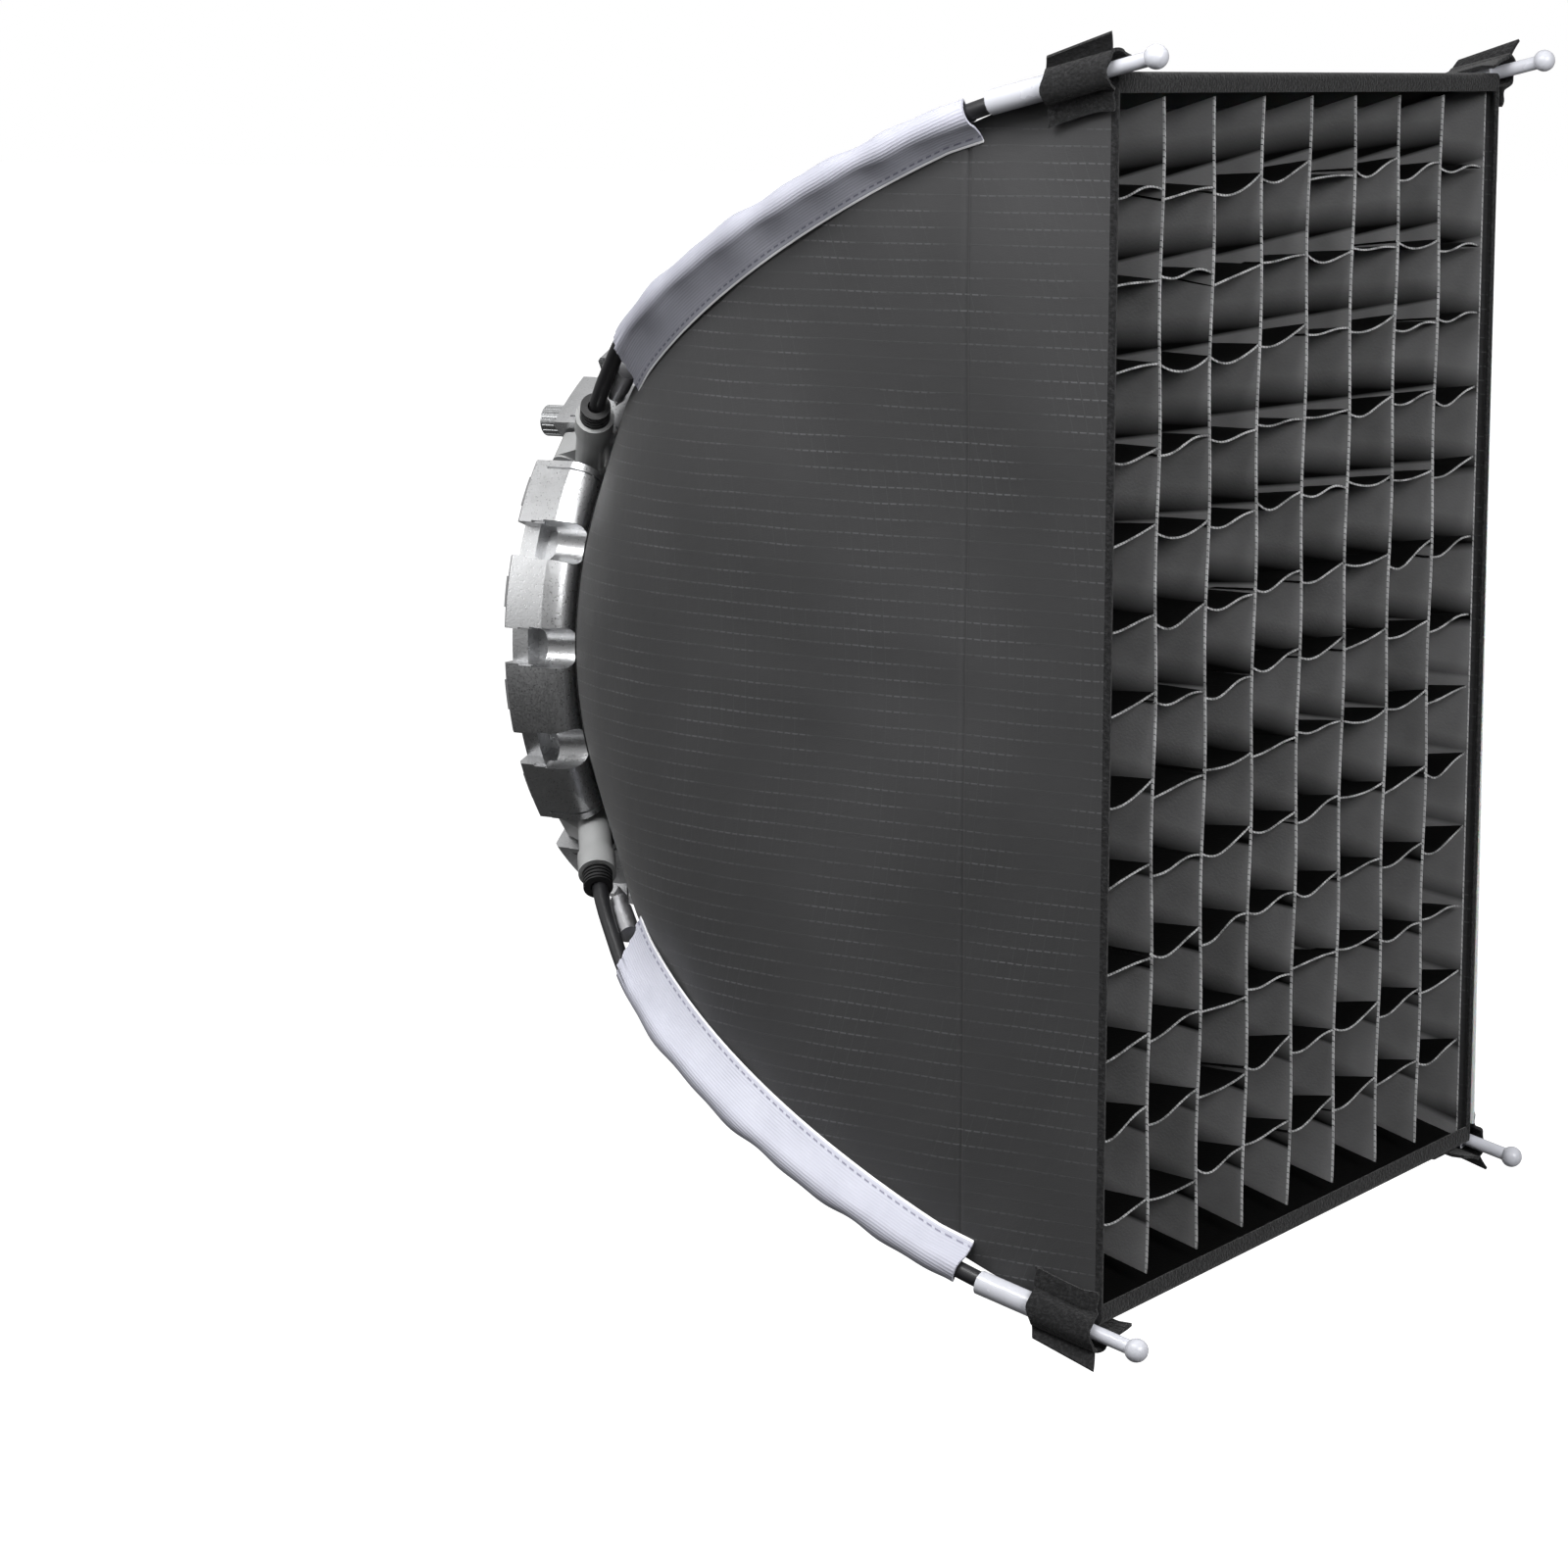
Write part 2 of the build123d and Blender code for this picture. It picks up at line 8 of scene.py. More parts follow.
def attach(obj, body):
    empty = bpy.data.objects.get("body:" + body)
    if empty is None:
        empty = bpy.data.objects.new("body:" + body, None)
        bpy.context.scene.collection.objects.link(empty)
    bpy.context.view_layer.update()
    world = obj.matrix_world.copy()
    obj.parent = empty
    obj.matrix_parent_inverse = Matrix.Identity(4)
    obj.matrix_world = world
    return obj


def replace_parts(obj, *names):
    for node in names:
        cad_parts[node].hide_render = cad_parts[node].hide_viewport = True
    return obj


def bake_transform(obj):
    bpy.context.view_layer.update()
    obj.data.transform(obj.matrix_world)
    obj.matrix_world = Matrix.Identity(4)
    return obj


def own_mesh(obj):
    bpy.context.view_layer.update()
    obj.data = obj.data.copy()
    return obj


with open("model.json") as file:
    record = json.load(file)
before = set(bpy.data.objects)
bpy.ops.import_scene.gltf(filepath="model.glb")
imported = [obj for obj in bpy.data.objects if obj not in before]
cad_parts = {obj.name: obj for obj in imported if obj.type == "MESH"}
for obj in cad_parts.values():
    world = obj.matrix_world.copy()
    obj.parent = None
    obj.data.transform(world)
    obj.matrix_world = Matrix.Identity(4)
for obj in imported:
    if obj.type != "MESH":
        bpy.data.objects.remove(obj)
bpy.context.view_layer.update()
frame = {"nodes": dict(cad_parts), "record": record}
print("frame loaded:", len(frame["nodes"]), "nodes")

# materials, small helpers first


def startMaterial(name, color, roughness, metallic=0.0, specular=0.5):
    # a Principled surface with its plain values set; returns what the later helpers need
    mat = bpy.data.materials.new(name)
    mat.use_nodes = True
    mat.diffuse_color = (*color, 1)
    tree = mat.node_tree
    surface = tree.nodes["Principled BSDF"]
    surface.inputs["Base Color"].default_value = (*color, 1)
    surface.inputs["Roughness"].default_value = roughness
    surface.inputs["Metallic"].default_value = metallic
    surface.inputs["Specular IOR Level"].default_value = specular
    return mat, tree, surface


def node(tree, kind, values=None, **props):
    # one node; values fill or link its sockets by name or index
    made = tree.nodes.new(kind)
    for key, value in props.items():
        setattr(made, key, value)
    for key, value in (values or {}).items():
        if isinstance(value, bpy.types.NodeSocket):
            tree.links.new(value, made.inputs[key])
        else:
            made.inputs[key].default_value = value
    return made


def calc(tree, operation, a, b=0.0, c=0.0):
    # result = operation of a, b and c
    return node(tree, "ShaderNodeMath", {0: a, 1: b, 2: c}, operation=operation).outputs[0]


def mixColor(tree, share, a, b):
    # colour = a * (1 - share) + b * share
    made = node(tree, "ShaderNodeMix", {"Factor": share}, data_type="RGBA")
    for index, value in ((6, a), (7, b)):
        if isinstance(value, bpy.types.NodeSocket):
            tree.links.new(value, made.inputs[index])
        else:
            made.inputs[index].default_value = (*value, 1)
    return made.outputs[2]


def objectPlace(tree):
    # place on the piece = its own coordinates, in metres
    return node(tree, "ShaderNodeTexCoord").outputs["Object"]


def noise(tree, place, scale, detail=3.0):
    # value = soft noise from 0 to 1, with about scale lumps to the metre
    values = {"Vector": place, "Scale": scale, "Detail": detail}
    return node(tree, "ShaderNodeTexNoise", values).outputs["Fac"]


def raised(tree, surface, height, distance, strength=0.6):
    # bump from a height socket, in metres
    made = node(tree, "ShaderNodeBump", {"Height": height, "Distance": distance, "Strength": strength})
    tree.links.new(made.outputs["Normal"], surface.inputs["Normal"])


def span(tree, value, low, high, outLow, outHigh):
    # result = outLow + (outHigh - outLow) * (value - low) / (high - low), held within its ends
    values = {0: value, 1: low, 2: high, 3: outLow, 4: outHigh}
    return node(tree, "ShaderNodeMapRange", values).outputs[0]


def clothCoordinates(tree):
    # the pieces' own uv, in metres: first along the thread, then across it
    uv = node(tree, "ShaderNodeUVMap", uv_map="thread").outputs[0]
    split = node(tree, "ShaderNodeSeparateXYZ", {0: uv})
    return uv, split.outputs[0], split.outputs[1]


def stripe(tree, value, pitch, width):
    # 1 on a line of that width every pitch, 0 between
    share = calc(tree, "FRACT", calc(tree, "DIVIDE", value, pitch))
    return calc(tree, "LESS_THAN", share, width / pitch)


def ripstopMaterial():
    # dark cloth: colour = base + thread lines broken by noise, height = lines + weave + slack
    look = {"base": (0.0165, 0.0167, 0.0176), "thread": (0.078, 0.079, 0.083), "linePitch": 0.0052,
            "lineWidth": 0.00042, "dashPitch": 0.0031, "rough": 0.62}
    mat, tree, surface = startMaterial("boxCloth", look["base"], look["rough"], specular=0.42)
    uv, along, across = clothCoordinates(tree)
    drift = noise(tree, uv, 26.0)
    line = stripe(tree, calc(tree, "ADD", across, calc(tree, "MULTIPLY", drift, 0.0012)), look["linePitch"],
                  look["lineWidth"])
    upright = stripe(tree, along, look["linePitch"], look["lineWidth"] * 0.7)
    dash = calc(tree, "LESS_THAN", calc(tree, "FRACT", calc(tree, "DIVIDE", along, look["dashPitch"])), 0.72)
    fade = span(tree, noise(tree, uv, 34.0, 4.0), 0.42, 0.66, 0.0, 1.0)
    shown = calc(tree, "MULTIPLY", calc(tree, "MULTIPLY", line, dash), fade)
    faint = calc(tree, "MULTIPLY", calc(tree, "MULTIPLY", upright, fade), 0.16)
    thread = calc(tree, "MAXIMUM", shown, faint)
    mottled = mixColor(tree, span(tree, noise(tree, uv, 9.0, 5.0), 0.3, 0.75, 0.0, 1.0), look["base"],
                       (0.033, 0.033, 0.0345))
    tree.links.new(mixColor(tree, thread, mottled, look["thread"]), surface.inputs["Base Color"])
    weave = noise(tree, uv, 1900.0, 2.0)
    slack = noise(tree, uv, 120.0, 4.0)
    height = calc(tree, "ADD", calc(tree, "MULTIPLY", weave, 0.25), calc(tree, "MULTIPLY", slack, 0.75))
    height = calc(tree, "ADD", height, calc(tree, "MULTIPLY", line, 0.3))
    raised(tree, surface, height, 0.00035, 0.55)
    surface.inputs["Sheen Weight"].default_value = 0.12
    return mat


def gridMaterial():
    # black cloth with a pale thread over the front edge of each strip, and painted shade that darkens it down
    # into the cell:
    # reach = height in the cell + slant * depth; painted shade is full low in the cell and gone above the top
    # reach, full colour above it
    look = {"base": (0.115, 0.115, 0.116), "high": (0.16, 0.16, 0.163), "paintedDark": (0.002, 0.002, 0.002),
            "edge": (0.46, 0.465, 0.47), "edgeX": 0.2602, "slant": 0.14, "paintedShade": 0.5}
    mat, tree, surface = startMaterial("gridCloth", look["base"], 0.66, specular=0.4)
    place = objectPlace(tree)
    split = node(tree, "ShaderNodeSeparateXYZ", {0: place})
    atEdge = calc(tree, "GREATER_THAN", split.outputs[0], look["edgeX"])
    run = calc(tree, "ADD", split.outputs[1], split.outputs[2])
    stitch = calc(tree, "LESS_THAN", calc(tree, "FRACT", calc(tree, "DIVIDE", run, 0.0021)), 0.82)
    worn = span(tree, noise(tree, place, 160.0, 3.0), 0.3, 0.62, 0.35, 1.0)
    share = calc(tree, "MULTIPLY", calc(tree, "MULTIPLY", atEdge, stitch), worn)
    cloth = mixColor(tree, span(tree, noise(tree, place, 45.0, 4.0), 0.3, 0.7, 0.0, 1.0), look["base"],
                     look["high"])
    within = node(tree, "ShaderNodeSeparateXYZ", {0: node(tree, "ShaderNodeTexCoord").outputs["UV"]})
    reach = calc(tree, "ADD", within.outputs[1], calc(tree, "MULTIPLY", within.outputs[0], look["slant"]))
    # painted shade share: 1 low in the cell, 0 from the top reach up; the painted shade also turns the specular
    # down
    paintedShade = span(tree, reach, 0.16, look["paintedShade"], 1.0, 0.0)
    tree.links.new(span(tree, paintedShade, 0.0, 1.0, 0.35, 0.04), surface.inputs["Specular IOR Level"])
    # colour = cloth darkened to near black by the painted shade
    shaded = mixColor(tree, paintedShade, cloth, look["paintedDark"])
    tree.links.new(mixColor(tree, share, shaded, look["edge"]), surface.inputs["Base Color"])
    raised(tree, surface, noise(tree, place, 1100.0, 3.0), 0.00025, 0.5)
    return mat


def sleeveMaterial():
    # grey ribbed cloth: fine ribs along the rod, a stitch line near each long edge and pale piping on it
    look = {"base": (0.50, 0.505, 0.575), "low": (0.40, 0.405, 0.47), "piping": (0.83, 0.83, 0.85),
            "stitch": (0.20, 0.20, 0.26), "ribPitch": 0.00115}
    mat, tree, surface = startMaterial("sleeveCloth", look["base"], 0.6, specular=0.35)
    uv, along, across = clothCoordinates(tree)
    rib = calc(tree, "SINE", calc(tree, "MULTIPLY", across, 2 * math.pi / look["ribPitch"]))
    ribs = span(tree, rib, -1.0, 1.0, 0.0, 1.0)
    cloudy = span(tree, noise(tree, uv, 60.0, 4.0), 0.3, 0.7, 0.0, 1.0)
    tone = calc(tree, "ADD", calc(tree, "MULTIPLY", ribs, 0.35), calc(tree, "MULTIPLY", cloudy, 0.55))
    cloth = mixColor(tree, tone, look["low"], look["base"])
    piping = calc(tree, "LESS_THAN", across, 0.0009)
    stitchAt = calc(tree, "COMPARE", across, 0.0026, 0.00033)
    stitchDash = calc(tree, "LESS_THAN", calc(tree, "FRACT", calc(tree, "DIVIDE", along, 0.0034)), 0.62)
    stitched = mixColor(tree, calc(tree, "MULTIPLY", stitchAt, stitchDash), cloth, look["stitch"])
    tree.links.new(mixColor(tree, piping, stitched, look["piping"]), surface.inputs["Base Color"])
    uneven = noise(tree, uv, 240.0)
    height = calc(tree, "ADD", calc(tree, "MULTIPLY", ribs, 0.5), calc(tree, "MULTIPLY", uneven, 0.5))
    height = calc(tree, "SUBTRACT", height, calc(tree, "MULTIPLY", stitchAt, 0.8))
    raised(tree, surface, height, 0.0003, 0.5)
    return mat


def trimMaterial():
    # hook-and-loop webbing: a fuzzy black with a coarse nap
    look = {"base": (0.008, 0.008, 0.0085), "nap": (0.022, 0.022, 0.023)}
    mat, tree, surface = startMaterial("trimCloth", look["base"], 0.9, specular=0.2)
    place = objectPlace(tree)
    nap = noise(tree, place, 900.0, 5.0)
    tree.links.new(mixColor(tree, span(tree, nap, 0.45, 0.7, 0.0, 1.0), look["base"], look["nap"]),
                   surface.inputs["Base Color"])
    raised(tree, surface, nap, 0.0009, 0.9)
    surface.inputs["Sheen Weight"].default_value = 0.1
    return mat


def diffuserMaterial():
    # white woven cloth that lets light through
    look = {"base": (0.86, 0.86, 0.85), "low": (0.78, 0.78, 0.775), "threadPitch": 0.0016}
    mat, tree, surface = startMaterial("diffuserCloth", look["base"], 0.75, specular=0.3)
    place = objectPlace(tree)
    split = node(tree, "ShaderNodeSeparateXYZ", {0: place})
    turn = 2 * math.pi / look["threadPitch"]
    waveY = calc(tree, "SINE", calc(tree, "MULTIPLY", split.outputs[1], turn))
    waveZ = calc(tree, "SINE", calc(tree, "MULTIPLY", split.outputs[2], turn))
    weave = span(tree, calc(tree, "MULTIPLY", waveY, waveZ), -1.0, 1.0, 0.0, 1.0)
    cloudy = noise(tree, place, 30.0)
    shade = calc(tree, "ADD", calc(tree, "MULTIPLY", weave, 0.4), calc(tree, "MULTIPLY", cloudy, 0.6))
    tree.links.new(mixColor(tree, shade, look["low"], look["base"]), surface.inputs["Base Color"])
    raised(tree, surface, weave, 0.0002, 0.5)
    surface.inputs["Subsurface Weight"].default_value = 0.25
    surface.inputs["Subsurface Scale"].default_value = 0.004
    return mat


def metalMaterial(name, color, roughness, grain, bump, tint=0.8):
    # metal with a roughness that wanders, a slightly darker mottling and a fine cast or turned grain
    mat, tree, surface = startMaterial(name, color, roughness, metallic=1.0)
    place = objectPlace(tree)
    broad = noise(tree, place, 55.0, 5.0)
    fine = noise(tree, place, grain, 3.0)
    dark = tuple(tint * part for part in color)
    mottled = mixColor(tree, span(tree, broad, 0.3, 0.7, 0.0, 1.0), dark, color)
    tree.links.new(mottled, surface.inputs["Base Color"])
    tree.links.new(span(tree, fine, 0.3, 0.7, roughness - 0.08, roughness + 0.1), surface.inputs["Roughness"])
    raised(tree, surface, fine, bump, 0.4)
    return mat


def plasticMaterial(name, color, roughness, bump, low=0.9, clear=0.0):
    # moulded plastic or rubber: faint mottling, a fine skin and a roughness that wanders
    mat, tree, surface = startMaterial(name, color, roughness)
    place = objectPlace(tree)
    broad = noise(tree, place, 90.0, 4.0)
    dark = tuple(low * part for part in color)
    mottled = mixColor(tree, span(tree, broad, 0.3, 0.7, 0.0, 1.0), dark, color)
    tree.links.new(mottled, surface.inputs["Base Color"])
    tree.links.new(span(tree, broad, 0.3, 0.7, roughness - 0.05, roughness + 0.07), surface.inputs["Roughness"])
    raised(tree, surface, noise(tree, place, 1400.0, 2.0), bump, 0.4)
    surface.inputs["Transmission Weight"].default_value = clear
    return mat


looks = {
    "box_cloth": ripstopMaterial(),
    "grid_cloth": gridMaterial(),
    "sleeve_cloth": sleeveMaterial(),
    "trim_cloth": trimMaterial(),
    "diffuser_cloth": diffuserMaterial(),
    "elastic": plasticMaterial("elastic", (0.02, 0.02, 0.021), 0.8, 0.0003),
    "cast_metal": metalMaterial("castMetal", (0.70, 0.705, 0.715), 0.33, 1500.0, 0.00014),
    "insert_metal": metalMaterial("insertMetal", (0.60, 0.61, 0.63), 0.32, 700.0, 0.00005),
    "clip_metal": metalMaterial("clipMetal", (0.64, 0.64, 0.66), 0.4, 900.0, 0.00008),
    "knob_metal": metalMaterial("knobMetal", (0.68, 0.69, 0.70), 0.28, 900.0, 0.00005),
    "screw_steel": metalMaterial("screwSteel", (0.09, 0.09, 0.10), 0.4, 1500.0, 0.00005),
    "pin_steel": metalMaterial("pinSteel", (0.62, 0.63, 0.65), 0.22, 1500.0, 0.00003),
    "spring_steel": metalMaterial("springSteel", (0.50, 0.51, 0.53), 0.3, 1800.0, 0.00003),
    "rod_steel": plasticMaterial("rodCoat", (0.018, 0.018, 0.02), 0.34, 0.00006, 0.7),
    "socket_plastic": plasticMaterial("socketPlastic", (0.40, 0.405, 0.405), 0.42, 0.0001),
    "tip_plastic": plasticMaterial("tipPlastic", (0.60, 0.61, 0.66), 0.24, 0.00005, 0.93, 0.12),
    "grommet_rubber": plasticMaterial("grommetRubber", (0.014, 0.014, 0.015), 0.55, 0.0002, 0.7),
}
slotOf = {row["node"]: row["material_slot"] for row in frame["record"]["subparts"]}
for name, part in frame["nodes"].items():
    part.data.materials.clear()
    part.data.materials.append(looks[slotOf[name]])
print("materials done")

# shape of the box, in metres
shape = {"hemX": 0.031, "frontX": 0.264, "ribStart": (0.017, 0.0728, 0.0608), "ribEnd": (0.2805, 0.153, 0.2036),
         "spreadY": (4.11, 0.85), "spreadZ": (1.294, 0.682), "gapY": (0.0036, 0.011), "gapZ": (0.0011, 0.013),
         "bulge": (0.025, 0.036), "halfFront": (0.1493, 0.1992), "seamX": 0.212, "tubeX": 0.223,
         "tubeLength": 0.0575, "foldX": 0.15, "foldY": 0.14, "foldZ": 0.19, "sideReach": 0.110,
         "topReach": 0.150, "diffuserX": 0.226, "baffleX": 0.15, "baffleGap": 0.012}
corners = {"right_top": (-1, 1), "right_bottom": (-1, -1), "left_top": (1, 1), "left_bottom": (1, -1)}


def ribAt(x):
    # distance = start + rise * (1 - (1 - s)^p)^q, with s the share of the way from socket to tip
    share = np.clip((x - shape["ribStart"][0]) / (shape["ribEnd"][0] - shape["ribStart"][0]), 0, 1)
    found = []
    for axis, (power, root) in ((1, shape["spreadY"]), (2, shape["spreadZ"])):
        low, high = shape["ribStart"][axis], shape["ribEnd"][axis]
        found.append(low + (high - low) * (1 - (1 - share) ** power) ** root)
    return found


def cornerAt(x):
    # corner = rib less a gap that grows to the rear; mid-line = corner + bulge * rest^2.5
    rest = np.clip((shape["frontX"] - x) / (shape["frontX"] - shape["hemX"]), 0, 1)
    ribY, ribZ = ribAt(x)
    cornerY = np.minimum(ribY - shape["gapY"][0] - shape["gapY"][1] * rest ** 1.2, shape["halfFront"][0])
    cornerZ = np.minimum(ribZ - shape["gapZ"][0] - shape["gapZ"][1] * rest ** 1.2, shape["halfFront"][1])
    swell = rest ** 2.5
    return cornerY, cornerZ, cornerY + shape["bulge"][0] * swell, cornerZ + shape["bulge"][1] * swell


def rodAt(x):
    # centre of the rod: straight runs between its bends, then a moving average over 16 mm
    lean = math.radians(30)
    along, around = 0.042, math.radians(40)
    foot = (0.018 + along * math.sin(lean), 0.0975 + along * math.cos(lean))
    stops = np.array([0.064, 0.088, 0.12, 0.16, 0.2])
    ys, zs = ribAt(stops)
    low, high = ribAt(np.array([shape["tubeX"], shape["ribEnd"][0]]))
    endX = np.array([0.231, shape["ribEnd"][0]])
    share = (endX - shape["tubeX"]) / shape["tubeLength"]
    allX = np.concatenate([[foot[0]], stops, endX])
    allY = np.concatenate([[foot[1] * math.cos(around)], ys, low[0] + (low[1] - low[0]) * share])
    allZ = np.concatenate([[foot[1] * math.sin(around)], zs, high[0] + (high[1] - high[0]) * share])
    dense = np.linspace(allX[0], allX[-1], 1200)
    width = int(0.016 / (dense[1] - dense[0]))
    kernel = np.ones(width) / width
    rows = []
    for values in (allY, allZ):
        line = np.interp(dense, allX, values)
        padded = np.concatenate([np.full(width, line[0]), line, np.full(width, line[-1])])
        smooth = np.convolve(padded, kernel, "same")[width:-width]
        edge = np.clip(np.minimum(dense - dense[0], dense[-1] - dense) / 0.01, 0, 1)
        rows.append(np.interp(x, dense, line + (smooth - line) * edge))
    return rows[0], rows[1]


def gridMesh(name, points, uv=None, outward=None):
    # mesh from one or more grids of points [patch, rows, columns, 3], with the faces turned towards outward
    rows, columns = points.shape[-3:-1]
    index = np.arange(points.size // 3).reshape(-1, rows, columns)
    ring = [index[:, :-1, :-1], index[:, 1:, :-1], index[:, 1:, 1:], index[:, :-1, 1:]]
    faces = np.stack(ring, axis=-1).reshape(-1, 4)
    flat = points.reshape(-1, 3)
    if outward is not None:
        normals = np.cross(flat[faces[:, 2]] - flat[faces[:, 0]], flat[faces[:, 3]] - flat[faces[:, 1]])
        if callable(outward):
            ways = outward(flat[faces].mean(axis=1))
        else:
            ways = np.broadcast_to(np.array(outward, float), normals.shape)
        if (normals * ways).sum() < 0:
            faces = faces[:, ::-1]
    mesh = bpy.data.meshes.new(name)
    mesh.from_pydata(flat.tolist(), [], faces.tolist())
    if uv is not None:
        layer = mesh.uv_layers.new(name="thread")
        layer.data.foreach_set("uv", uv.reshape(-1, 2)[faces.ravel()].ravel())
    mesh.polygons.foreach_set("use_smooth", np.ones(len(faces), bool))
    mesh.update()
    ends = np.empty(2 * len(mesh.edges), int)
    mesh.edges.foreach_get("vertices", ends)
    row, column = (ends // columns % rows).reshape(-1, 2), (ends % columns).reshape(-1, 2)
    border = (row == 0).all(1) | (row == rows - 1).all(1)
    border = border | (column == 0).all(1) | (column == columns - 1).all(1)
    mesh.edges.foreach_set("use_edge_sharp", border)
    made = bpy.data.objects.new(name, mesh)
    bpy.context.scene.collection.objects.link(made)
    return made


def thicken(piece, thickness, offset=-1.0):
    # cloth of that thickness: inwards of its surface at -1, both ways at 0, outwards at 1
    made = piece.modifiers.new("thickness", "SOLIDIFY")
    made.thickness = thickness
    made.offset = offset
    return piece


def joined(name, parts):
    # one mesh object out of several, their uv and smooth shading kept
    bpy.ops.object.select_all(action="DESELECT")
    for part in parts:
        part.select_set(True)
    bpy.context.view_layer.objects.active = parts[0]
    bpy.ops.object.join()
    parts[0].name = name
    parts[0].data.name = name
    return parts[0]


def arcLength(points):
    # length so far = sum of the steps from the first row of points
    steps = np.linalg.norm(np.diff(points, axis=0), axis=-1)
    return np.concatenate([np.zeros((1,) + steps.shape[1:]), np.cumsum(steps, axis=0)])


rng = np.random.default_rng(11)
waves = [(rng.uniform(18, 60), rng.uniform(18, 60), rng.uniform(0, 6.28), rng.uniform(0.5, 1))
         for _ in range(9)]
puckers = [(rng.uniform(90, 210), rng.uniform(-70, 70), rng.uniform(0, 6.28)) for _ in range(6)]


def slackAt(x, across, v):
    # slack = long waves + short puckers near the seam and the hem, all brought to nothing at the hem, the front
    # edge, the mid-line and the seam itself
    long = sum(w * np.sin(kx * x + kz * across + p) for kx, kz, p, w in waves) / 6
    short = sum(np.sin(kx * x + kz * across + p) for kx, kz, p in puckers) / 4
    nearSeam = np.clip((np.abs(v) - 0.72) / 0.28, 0, 1) ** 1.5
    nearHem = np.clip((0.065 - x) / 0.034, 0, 1)
    hold = np.clip((x - shape["hemX"]) / 0.02, 0, 1) * np.clip((shape["frontX"] - x) / 0.03, 0, 1)
    middle = np.clip(np.abs(v) / 0.12, 0, 1)
    hold = hold * middle ** 2 * (3 - 2 * middle)
    atSeam = 1 - np.clip((np.abs(v) - 0.93) / 0.07, 0, 1)
    return hold * atSeam * (0.0011 * long + 0.0008 * short * (nearSeam + 0.8 * nearHem))


def clothHalf(side, corner):
    # point = mid + (corner - mid) * v^2 outwards and corner * v across, plus slack; the lip turns in in front
    settings = {"rows": 96, "columns": 72, "cloth": 0.0009, "seamDip": 0.0008, "lipSide": 0.003,
                "lipTop": 0.0065}
    sideY, sideZ = corners[corner]
    xs = np.linspace(shape["hemX"], shape["frontX"] - 0.0006, settings["rows"])
    extra = shape["seamX"] + np.array([-0.0022, -0.0014, -0.0008, 0, 0.0008, 0.0014, 0.0022])
    xs = np.unique(np.concatenate([xs, extra]))
    turnX = np.array([0.0003, 0.0010, 0.0014, 0.0012, 0.0008])
    turnIn = np.array([0.03, 0.12, 0.32, 0.62, 1.0])
    rowX = np.concatenate([xs, shape["frontX"] + turnX])[:, None]
    inward = np.concatenate([np.zeros(len(xs)), turnIn])[:, None]
    v = np.linspace(0, 1, settings["columns"])[None, :]
    cornerY, cornerZ, midY, midZ = cornerAt(np.minimum(rowX, shape["frontX"]))
    insetY, insetZ = inward * settings["lipSide"], inward * settings["lipTop"]
    dip = settings["seamDip"] * np.exp(-((rowX - shape["seamX"]) / 0.0009) ** 2) * (side in ("right", "left"))
    if side in ("right", "left"):
        across = sideZ * (cornerZ - insetZ) * v
        away = midY + (cornerY - midY) * v ** 2 - insetY + slackAt(rowX, across, v) - dip
        points = np.stack([rowX + 0 * v, sideY * away, across], axis=-1)
        outward = (0, sideY, 0)
    else:
        across = sideY * (cornerY - insetY) * v
        away = midZ + (cornerZ - midZ) * v ** 2 - insetZ + slackAt(rowX, across + 0.4, v)
        points = np.stack([rowX + 0 * v, across, sideZ * away], axis=-1)
        outward = (0, 0, sideZ)
    along = arcLength(points)
    uv = np.stack([along, across + 0 * rowX], axis=-1)
    piece = gridMesh(f"{side}Cloth_{corner}", points, uv, outward)
    thicken(piece, settings["cloth"])
    piece.data.materials.append(looks["box_cloth"])
    piece.data.materials.append(looks["trim_cloth"])
    lipFaces = np.zeros((len(xs) + len(turnX) - 1, settings["columns"] - 1), int)
    lipFaces[len(xs) - 1:] = 1
    piece.data.polygons.foreach_set("material_index", lipFaces.ravel())
    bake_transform(piece)
    return piece


for corner in corners:
    sideName = "right" if corners[corner][0] < 0 else "left"
    topName = "top" if corners[corner][1] > 0 else "bottom"
    for name in (sideName, topName):
        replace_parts(clothHalf(name, corner), name + "_cloth", "front_binding")
print("cloth sides done")


